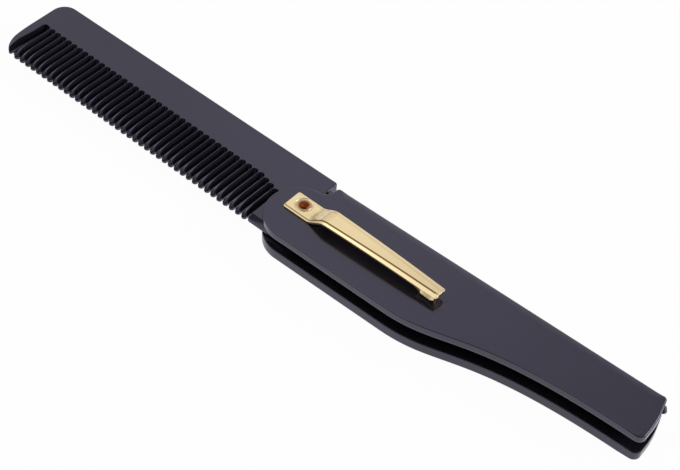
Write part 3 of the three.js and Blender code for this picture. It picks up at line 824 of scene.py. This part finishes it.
def blade_bar(first, last):
    """Cutter between two end sections of equally many points, placed as the blade is."""
    count = len(first)
    faces = [tuple(range(count)), tuple(range(count, 2 * count))] + between(count, 2)
    return piece("cutter", place(first + last, -OPEN_PAST_STRAIGHT), faces)


def through_hole():
    """Cutter for the rivet's hole through everything."""
    radius = RIVET_RADIUS + RIVET_FIT
    reach = 2 * SCALE_TOP
    return lathe("cutter", [(0, -reach), (radius, -reach), (radius, reach), (0, reach)])


# Handle

def outer_rim(spot):
    """How far in and how far down a scale's outer rim goes at a corner, widest along the straight back."""
    if spot.x > TAIL_BACK_X:
        return TAIL_RIM, TAIL_RIM
    from_end = min(spot.x - SADDLE_X, TAIL_BACK_X - spot.x)
    if spot.y > HANDLE_BACK - NEAR and from_end > BACK_RIM_RUN - NEAR:
        return BACK_RIM
    size = mix(SCALE_RIM, BACK_RIM[1], smooth(spot.y / HANDLE_BACK))
    return size, size


def make_scale(name, node, upper):
    """One scale with the strip's groove and the rivet's hole, the lower one with a seat for its head."""
    outline = scale_outline()
    outer = [outer_rim(spot) for spot in outline]
    mouth = UPPER_MOUTH_RIM if upper else LOWER_MOUTH_RIM
    inner = [(mix(mouth, SLOT_RIM, smooth(spot.y / HANDLE_BACK)),) * 2 for spot in outline]
    if upper:
        slab = rounded_slab(outline, lambda spot: SLOT_TOP, lambda spot: SCALE_TOP, inner, outer)
    else:
        slab = rounded_slab(outline, lambda spot: -SCALE_TOP, lambda spot: -SLOT_TOP, outer, inner)
    points, faces, wear = slab
    made = piece(name, place(points), faces, wear)
    ledge = SLOT_TOP + TONGUE_HEIGHT + TONGUE_FIT
    heights = (0, ledge) if upper else (-ledge, 0)
    cut(made, block(
        Vector((TONGUE_START - TONGUE_FIT, STRIP_INNER - TONGUE_FIT, heights[0])),
        Vector((TONGUE_END + TONGUE_FIT, HANDLE_BACK + STRIP_WIDTH, heights[1])),
    ))
    cut(made, through_hole())
    if not upper:
        cut(made, counterbore())
    finish_surface(made)
    dress(made, PLASTIC, "handle", "black_plastic", node)


def counterbore():
    """Cutter for the sunk rivet head and its washer, with a chamfered mouth."""
    radius = WASHER_RADIUS + COUNTERBORE_FIT
    floor = -SCALE_TOP + HEAD_RECESS + HEAD_THICKNESS + WASHER_THICKNESS
    mouth = -SCALE_TOP
    wide = radius + COUNTERBORE_CHAMFER
    return lathe("cutter", [
        (0, mouth - PAST), (wide, mouth - PAST), (wide, mouth), (radius, mouth + COUNTERBORE_CHAMFER),
        (radius, floor), (0, floor),
    ])


def make_strip():
    """Spine strip, drawn from the side and as thick as its width."""
    end = TAIL_BACK_X + STRIP_NUB
    tall = SLOT_TOP + TONGUE_HEIGHT
    low_end = TAIL_BACK_X - STRIP_SETBACK
    nub_top = flat(end - NUB_SLANT, SLOT_TOP)
    nub_low = flat(end, 0)
    nub_root = flat(low_end, -NUB_ROOT * SLOT_TOP)
    side = [
        flat(STRIP_FRONT, -SLOT_TOP), flat(TONGUE_START, -SLOT_TOP), flat(TONGUE_START, -tall),
        flat(TONGUE_END, -tall), flat(TONGUE_END, -SLOT_TOP), flat(low_end, -SLOT_TOP), nub_root,
        *fillet(nub_root, nub_low, nub_top, NUB_RIM),
        *fillet(nub_low, nub_top, flat(0, SLOT_TOP), NUB_RIM),
        flat(TONGUE_END, SLOT_TOP), flat(TONGUE_END, tall), flat(TONGUE_START, tall),
        flat(TONGUE_START, SLOT_TOP), flat(STRIP_FRONT, SLOT_TOP),
    ]
    rim = [(NUB_SIDE_RIM,) * 2 if point.x > low_end + NEAR else (STRIP_RIM,) * 2 for point in side]
    points, faces, wear = rounded_slab(side, lambda spot: -HANDLE_BACK, lambda spot: -STRIP_INNER, rim, rim)
    standing = [Vector((point.x, -point.z, point.y)) for point in points]
    made = piece("spine_moulding", place(standing), faces, wear)
    finish_surface(made)
    dress(made, PLASTIC, "handle", "black_plastic", "spine_strip")


# Rivet

def make_rivet():
    """Rivet turned from one profile: sunk head with a dished face, shank, dome pressed over the clip."""
    low = -SCALE_TOP + HEAD_RECESS
    top = low + HEAD_THICKNESS
    edge = arc(flat(HEAD_RADIUS - HEAD_EDGE, low + HEAD_EDGE), HEAD_EDGE, -90, 0, EDGE_STEPS + 1)
    seat = PLATE_TOP - DOME_SEAT
    profile = [
        (0, low + HEAD_EDGE), (HEAD_RADIUS * DISH_BEND[0], low + HEAD_EDGE * DISH_BEND[1]),
        (HEAD_RADIUS * DISH_REACH, low), *edge, (HEAD_RADIUS, top), (RIVET_RADIUS, top), (RIVET_RADIUS, seat),
        (DOME_RADIUS - DOME_UNDERCUT, seat),
    ]
    for spot in arc(flat(0, 0), 1, 0, 90, DOME_STEPS)[:-1]:
        profile.append((DOME_RADIUS * spot.x, PLATE_TOP + DOME_HEIGHT * spot.y))
    profile.append((0, PLATE_TOP + DOME_HEIGHT))
    made = lathe("rivet_turning", profile)
    finish_surface(made, sharp_degrees=50)
    dress(made, COPPER, "handle", "copper", "pivot_rivet")


# Pocket clip

def clip_top(x):
    """Height of the sheet's upper face along the clip: plate, neck with a broad upper bend, arched arm."""
    share = max(0.0, min(1.0, (x - NECK_START) / (NECK_LENGTH + NECK_BEND)))
    risen = (1 - math.cos(math.pi * share ** NECK_LEAD)) / 2
    along = max(0.0, (x - NECK_END) / ARM_LENGTH)
    return PLATE_TOP + risen * NECK_RISE - ARM_DROP * along + 4 * ARM_ARCH * along * (1 - along)


def clip_half_width(x):
    """Half the clip's width, with round corners at the plate's front and the arm's tip."""
    half = CLIP_WIDTH / 2
    if x > NECK_END:
        half = mix(ARM_ROOT_WIDTH, ARM_TIP_WIDTH, (x - NECK_END) / ARM_LENGTH) / 2
    elif x > NECK_START:
        half = mix(CLIP_WIDTH, ARM_ROOT_WIDTH, (x - NECK_START) / NECK_LENGTH) / 2
    for radius, past in (
        (CLIP_CORNER_RADIUS, -CLIP_FRONT + CLIP_CORNER_RADIUS - x),
        (TIP_ROUNDING, x - CLIP_END + TIP_ROUNDING),
    ):
        if past > 0:
            half -= radius - math.sqrt(max(0.0, radius ** 2 - past ** 2))
    return half


def clip_section(x, pinch, lobe_depth, painted_crease_shade):
    """Half a cross-section as (across, up, painted shade) points, from the top's middle round a side to the
    bottom's.

    pinch thins the sheet from both faces, for rounding its ends. lobe_depth is how far the edge reaches down
    at the tip, and painted_crease_shade how dark the painted shade along the crease is."""
    half = clip_half_width(x)
    risen = smooth((x - NECK_START) / NECK_LENGTH)
    along = max(0.0, (x - NECK_END) / ARM_LENGTH)
    lobe = lobe_depth * smooth((x - CLIP_END + LOBE_REACH) / LOBE_RUN) * smooth((CLIP_END - x) / LOBE_FADE)
    # painted shade along the crease; on the flat plate a painted dark line where there is no crease
    painted_shade = painted_crease_shade * mix(PLATE_SHADE_LINE, 1, risen) * smooth((CLIP_END - x) / LOBE_FADE)
    # painted shade in the neck's lower bend
    bend_shade = NECK_BEND_SHADE * max(0.0, 1 - abs(x - NECK_START - BEND_SHADE_PLACE) / BEND_SHADE_REACH)
    depth = risen * mix(*FLANGE_DEPTH, along)
    step = STEP_SHARE * depth
    crease = half - mix(PLATE_EDGE, mix(*FLANGE_WIDTH, along), risen)
    top = [
        (0, 0, bend_shade), (crease / 2, 0, bend_shade * painted_crease_shade),
        (crease - STEP_WIDTH, 0, 0), (crease - STEP_WIDTH / 2, 0, painted_shade),
        (crease, -STEP_FALL[0] * step, painted_shade), (crease + STEP_WIDTH / 2, -STEP_FALL[1] * step, painted_shade),
        (crease + STEP_WIDTH, -step, painted_shade), (crease + 2 * STEP_WIDTH, -mix(step, depth, FLANGE_FALL), 0),
    ]
    outer = half - SHEET_EDGE
    low = -depth - CLIP_THICKNESS
    edge = arc(flat(outer, -depth - SHEET_EDGE), SHEET_EDGE, 90, 0, EDGE_STEPS)
    edge += arc(flat(outer + LOBE_LEAN * lobe, low - lobe + SHEET_EDGE), SHEET_EDGE, 0, -90, EDGE_STEPS)
    bottom = [(crease, -CLIP_THICKNESS - step / 2, 0), (0, -CLIP_THICKNESS, 0)]
    middle = -CLIP_THICKNESS / 2
    share = 1 - 2 * pinch / CLIP_THICKNESS
    points = top + [(spot.x, spot.y, 0) for spot in edge] + bottom
    return [(across, middle + (up - middle) * share, painted_shade) for across, up, painted_shade in points]


def clip_stations():
    """Places along the clip with how much the sheet is pinched there, closest at its ends and in the neck."""
    ends = []
    for step in range(EDGE_STEPS + 1):
        angle = math.pi / 2 * step / EDGE_STEPS
        ends.append((SHEET_EDGE * (1 - math.cos(angle)), SHEET_EDGE * (1 - math.sin(angle))))
    places = [(-CLIP_FRONT + near, pinch) for near, pinch in ends]
    bounds = (
        -CLIP_FRONT + SHEET_EDGE, -CLIP_FRONT + CLIP_CORNER_RADIUS, NECK_START, NECK_END,
        CLIP_END - TIP_ROUNDING, CLIP_END - SHEET_EDGE,
    )
    for start, end, steps in zip(bounds, bounds[1:], CLIP_STEPS):
        places += [(mix(start, end, step / steps), 0) for step in range(1, steps + 1)]
    places += [(CLIP_END - near, pinch) for near, pinch in reversed(ends[:-1])]
    return places


def make_clip():
    """One bent sheet from the plate under the rivet to the arm's tip."""
    points = []
    painted_shades = []
    stations = clip_stations()
    for x, pinch in stations:
        slope = math.atan2(clip_top(x + SLOPE_REACH) - clip_top(x - SLOPE_REACH), 2 * SLOPE_REACH)
        far = clip_section(x, pinch, 0, FAR_CREASE_SHADE)
        near = clip_section(x, pinch, LOBE_DEPTH, NEAR_CREASE_SHADE)
        ring = far + [(-across, up, painted_shade) for across, up, painted_shade in near[-2:0:-1]]
        for across, up, painted_shade in ring:
            points.append(Vector((
                x - up * math.sin(slope), CLIP_CENTRE_Y + across, clip_top(x) + up * math.cos(slope))))
            painted_shades.append(painted_shade)
    count = len(ring)
    faces = [tuple(range(count)), tuple(range(len(points) - count, len(points)))]
    faces += between(count, len(stations))
    made = piece("pocket_clip", place(points, -CLIP_TURN), faces)
    # the crease attribute carries painted shade along the creases and in the neck's lower bend
    made.data.attributes.new("crease", "FLOAT", "POINT").data.foreach_set("value", painted_shades)
    cut(made, through_hole())
    cut(made, ring_groove())
    finish_surface(made, sharp_degrees=35)
    made.data.materials.clear()
    made.data.materials.append(GILT)
    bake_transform(made)
    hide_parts("clip_plate", "clip_arm")


def ring_groove():
    """Cutter for the pressed ring round the rivet."""
    height = PLATE_TOP + RING_WIRE - RING_DEPTH
    steps = WIRE_STEPS
    points = []
    for turn in arc(flat(0, 0), 1, 0, 360, ROUND_STEPS)[:-1]:
        for wire in arc(flat(RING_RADIUS, height), RING_WIRE, 0, 360, steps)[:-1]:
            points.append(Vector((turn.x * wire.x, turn.y * wire.x, wire.y)))
    faces = []
    for a in range(ROUND_STEPS):
        for b in range(steps):
            after, beside = (a + 1) % ROUND_STEPS, (b + 1) % steps
            faces.append((a * steps + b, after * steps + b, after * steps + beside, a * steps + beside))
    return piece("cutter", place(points), faces)


def make_foot():
    """Rounded foot pressed down from the arm's end: an arc from the side, nearly square across."""
    middle = CLIP_END - FOOT_FROM_TIP
    centre = SCALE_TOP + FOOT_LIFT + FOOT_RADIUS
    chord = clip_top(middle + FOOT_RADIUS) - CLIP_THICKNESS + FOOT_SINK
    reach = math.sqrt(FOOT_RADIUS ** 2 - (centre - chord) ** 2)
    columns, rows = 2 * CORNER_STEPS, 2 * CORNER_STEPS
    points = []
    for column in range(columns + 1):
        along = reach * math.cos(math.pi * (1 - column / columns))
        depth = math.sqrt(FOOT_RADIUS ** 2 - along ** 2) - (centre - chord)
        for row in range(rows + 1):
            angle = math.pi * row / rows
            fullness = max(0.0, math.sin(angle)) ** FOOT_SQUARENESS
            across = CLIP_CENTRE_Y - FOOT_WIDTH / 2 * math.cos(angle)
            points.append(Vector((middle + along, across, chord - depth * fullness)))
    wide = rows + 1
    faces = [
        (a, a + wide, a + wide + 1, a + 1)
        for column in range(columns) for a in range(column * wide, column * wide + rows)
    ]
    loop = list(range(0, columns * wide, wide)) + list(range(columns * wide, len(points)))
    loop += list(range(columns * wide - 1, rows, -wide)) + list(range(rows, 0, -1))
    faces.append(tuple(loop))
    made = piece("clip_foot", place(points, -CLIP_TURN), faces)
    finish_surface(made)
    made.data.materials.append(GILT)
    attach(made, "clip")


make_blade()
make_scale("top_scale_moulding", "top_scale", True)
make_scale("bottom_scale_moulding", "bottom_scale", False)
make_strip()
make_rivet()
make_clip()
make_foot()

for node, material in (
    ("rivet_washer", STEEL), ("upper_friction_washer", NYLON), ("lower_friction_washer", NYLON),
):
    mesh = frame["nodes"][node].data
    mesh.materials.clear()
    mesh.materials.append(material)


# Studio

FLOOR_SIZE = 3.0
FLOOR_DROP = 0.0002
FLOOR_PAPER = 0.9  # brightness of the floor where it takes shadow
FLOOR_WHITE = 0.97  # how much plain white the camera sees over it
FLOOR_MIRRORED = 0.75  # how much of that reflections see


def make_floor():
    """White floor that takes the comb's shadow and can be seen through from below."""
    mesh = bpy.data.meshes.new("floor")
    square = ((-1, -1), (1, -1), (1, 1), (-1, 1))
    mesh.from_pydata([(x * FLOOR_SIZE, y * FLOOR_SIZE, -FLOOR_DROP) for x, y in square], [], [(0, 1, 2, 3)])
    made = bpy.data.objects.new("floor", mesh)
    bpy.context.scene.collection.objects.link(made)
    look = bpy.data.materials.new("white_floor")
    look.use_nodes = True
    graph = Graph(look.node_tree)
    graph.nodes.remove(graph.nodes["Principled BSDF"])
    paper = graph.nodes.new("ShaderNodeBsdfDiffuse")
    paper.inputs["Color"].default_value = (FLOOR_PAPER, FLOOR_PAPER, FLOOR_PAPER, 1)
    glow = graph.nodes.new("ShaderNodeEmission")
    clear = graph.nodes.new("ShaderNodeBsdfTransparent")
    path = graph.nodes.new("ShaderNodeLightPath").outputs
    seen = graph.math("MULTIPLY", path["Is Camera Ray"], FLOOR_WHITE)
    mirrored = graph.math("MULTIPLY", path["Is Glossy Ray"], FLOOR_MIRRORED)
    white = graph.shaders(graph.math("ADD", seen, mirrored), paper.outputs[0], glow.outputs[0])
    from_below = graph.nodes.new("ShaderNodeNewGeometry").outputs["Backfacing"]
    surface = graph.shaders(from_below, white, clear.outputs[0])
    graph.links.new(surface, graph.nodes["Material Output"].inputs["Surface"])
    mesh.materials.append(look)


WORLD_LOW = 0.60  # light from the sides
WORLD_HIGH = 0.94  # light from above
WORLD_FRONT = 0.28  # light from the front, as a share of that from the back
WORLD_RIGHT = 0.58  # light from the tail's side, as a share of that from the middle
WORLD_LEFT = 0.83  # light from the blade's side, the same way
SOFT_BOX = (-0.50, -0.25, 0.83)  # where the brightest part of the tent is
SOFT_BOX_LIGHT = 0.7
UP_BLEND = (0.0, 0.4)  # parts of the direction's height between which the light from above comes in
FRONT_BLEND = (-0.75, 0.1)  # the same from front to back
RIGHT_BLEND = (-0.42, -0.08)  # the same from the middle to the tail's side
LEFT_BLEND = (-0.51, -0.43)  # the same from the blade's side to the middle
SOFT_BOX_BLEND = (0.8, 0.97)  # cosines of the angles over which the bright part fades


def make_world():
    """White all round for the camera. Light and mirrors get a tent that is dim in front and at its ends."""
    world = bpy.data.worlds.new("studio")
    bpy.context.scene.world = world
    world.use_nodes = True
    graph = Graph(world.node_tree)
    direction = graph.nodes.new("ShaderNodeTexCoord").outputs["Generated"]
    split = graph.nodes.new("ShaderNodeSeparateXYZ")
    graph.links.new(direction, split.inputs[0])
    sky = split.outputs
    towards = graph.vector("DOT_PRODUCT", direction, Vector(SOFT_BOX).normalized())
    tent = graph.remap(sky["Z"], *UP_BLEND, WORLD_LOW, WORLD_HIGH, soft=True)
    for axis, ends, low, high in (
        ("Y", FRONT_BLEND, WORLD_FRONT, 1),
        ("X", RIGHT_BLEND, 1, WORLD_RIGHT),
        ("X", LEFT_BLEND, WORLD_LEFT, 1),
    ):
        tent = graph.math("MULTIPLY", tent, graph.remap(sky[axis], *ends, low, high, soft=True))
    tent = graph.math("ADD", tent, graph.remap(towards, *SOFT_BOX_BLEND, 0, SOFT_BOX_LIGHT, soft=True))
    background = graph.nodes["Background"]
    background.inputs["Color"].default_value = (1, 1, 1, 1)
    graph.links.new(tent, background.inputs["Strength"])
    backdrop = graph.nodes.new("ShaderNodeBackground")
    backdrop.inputs["Color"].default_value = (1, 1, 1, 1)
    camera_ray = graph.nodes.new("ShaderNodeLightPath").outputs["Is Camera Ray"]
    surface = graph.shaders(camera_ray, background.outputs[0], backdrop.outputs[0])
    graph.links.new(surface, graph.nodes["World Output"].inputs["Surface"])


def make_lamp(name, direction, distance, size, power):
    """A soft lamp that looks at the comb from a direction."""
    data = bpy.data.lights.new(name, "AREA")
    data.shape = "RECTANGLE"
    data.size, data.size_y = size
    data.energy = power
    lamp = bpy.data.objects.new(name, data)
    lamp.location = Vector(direction).normalized() * distance
    lamp.rotation_mode = "QUATERNION"
    lamp.rotation_quaternion = Vector(direction).to_track_quat("Z", "Y")
    bpy.context.scene.collection.objects.link(lamp)


# Camera

CAMERA_TARGET = Vector((9.47, -0.18, 4.68)) * MM
CAMERA_DISTANCE = 413.66 * MM
CAMERA_AZIMUTH = 35.21
CAMERA_ELEVATION = 48.31
CAMERA_ROLL = 5.3
CAMERA_LENS = 90
CAMERA_SENSOR = 36
CAMERA_NEAREST = 0.01


def make_camera():
    azimuth, elevation, roll = (
        math.radians(angle) for angle in (CAMERA_AZIMUTH, CAMERA_ELEVATION, CAMERA_ROLL))
    level = Vector((math.cos(azimuth), math.sin(azimuth), 0))
    out = Vector((math.sin(azimuth), -math.cos(azimuth), 0))
    back = out * math.cos(elevation) + Vector((0, 0, math.sin(elevation)))
    upright = back.cross(level)
    right = level * math.cos(roll) + upright * math.sin(roll)
    up = upright * math.cos(roll) - level * math.sin(roll)
    data = bpy.data.cameras.new("camera")
    data.lens = CAMERA_LENS
    data.sensor_width = CAMERA_SENSOR
    data.clip_start = CAMERA_NEAREST
    camera = bpy.data.objects.new("camera", data)
    turn = Matrix((right, up, back)).transposed().to_4x4()
    camera.matrix_world = Matrix.Translation(CAMERA_TARGET + back * CAMERA_DISTANCE) @ turn
    bpy.context.scene.collection.objects.link(camera)
    bpy.context.scene.camera = camera


make_floor()
make_world()
make_lamp("tail_light", direction=(0.74, 0.47, 0.42), distance=0.8, size=(0.55, 0.14), power=2.2)
make_camera()
bpy.context.scene.view_settings.view_transform = "Standard"
